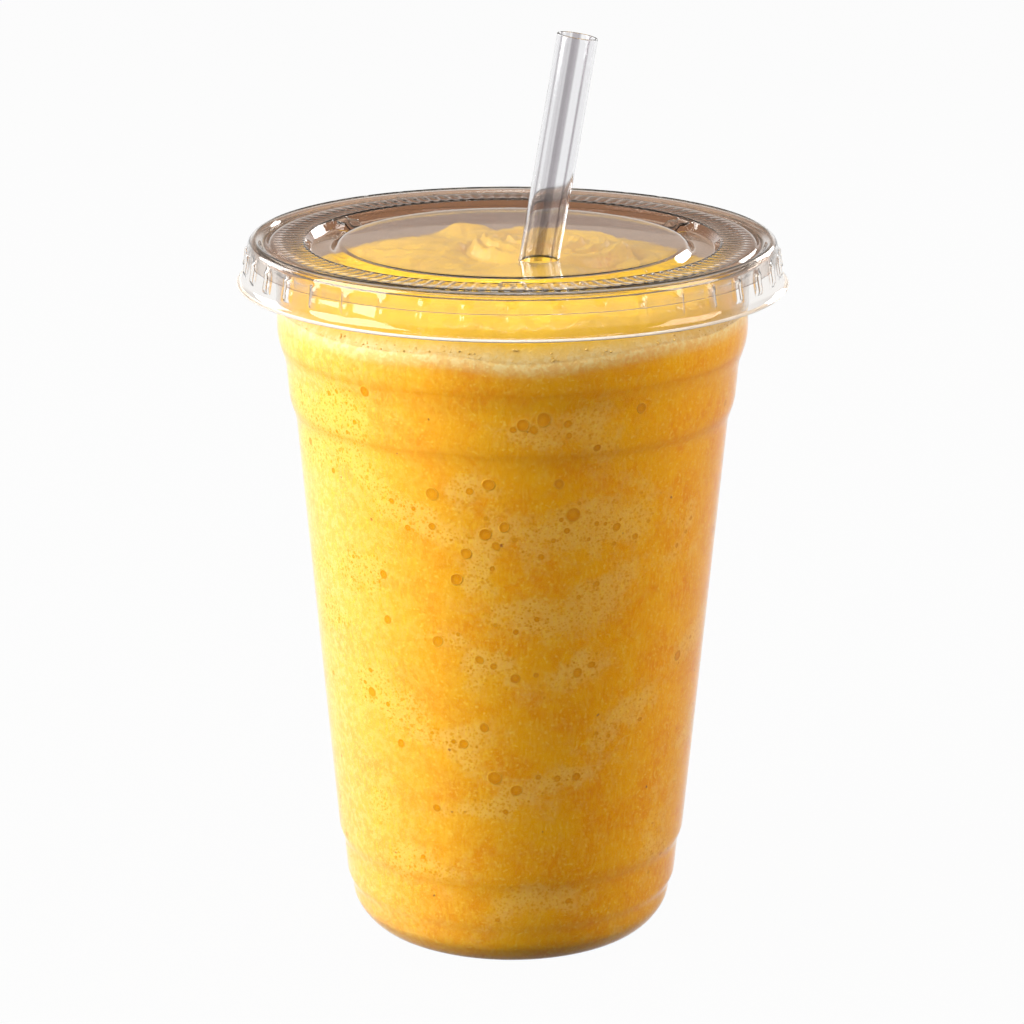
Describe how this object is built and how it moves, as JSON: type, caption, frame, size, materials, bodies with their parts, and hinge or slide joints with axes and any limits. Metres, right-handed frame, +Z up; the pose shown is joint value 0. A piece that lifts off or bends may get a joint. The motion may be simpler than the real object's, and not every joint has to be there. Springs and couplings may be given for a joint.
{
  "type": "pineapple smoothie",
  "caption": "Thick yellow pineapple smoothie in a clear tapered cup with a flat clear lid and a clear straw that leans through it.",
  "frame": {"origin": "middle of the foot ring that the cup stands on", "axes": "+Z up the cup, +X the way the straw leans"},
  "size_m": [0.103, 0.103, 0.1746],
  "materials": {
    "clear_cup": "clear, glossy",
    "clear_lid": "clear, glossy",
    "clear_straw": "clear, slightly frosted",
    "pineapple_smoothie": "wet, thick and frothy"
  },
  "bodies": {
    "root": {"cup": "clear_cup", "lid": "clear_lid", "straw": "clear_straw", "smoothie": "pineapple_smoothie"}
  },
  "joints": []
}
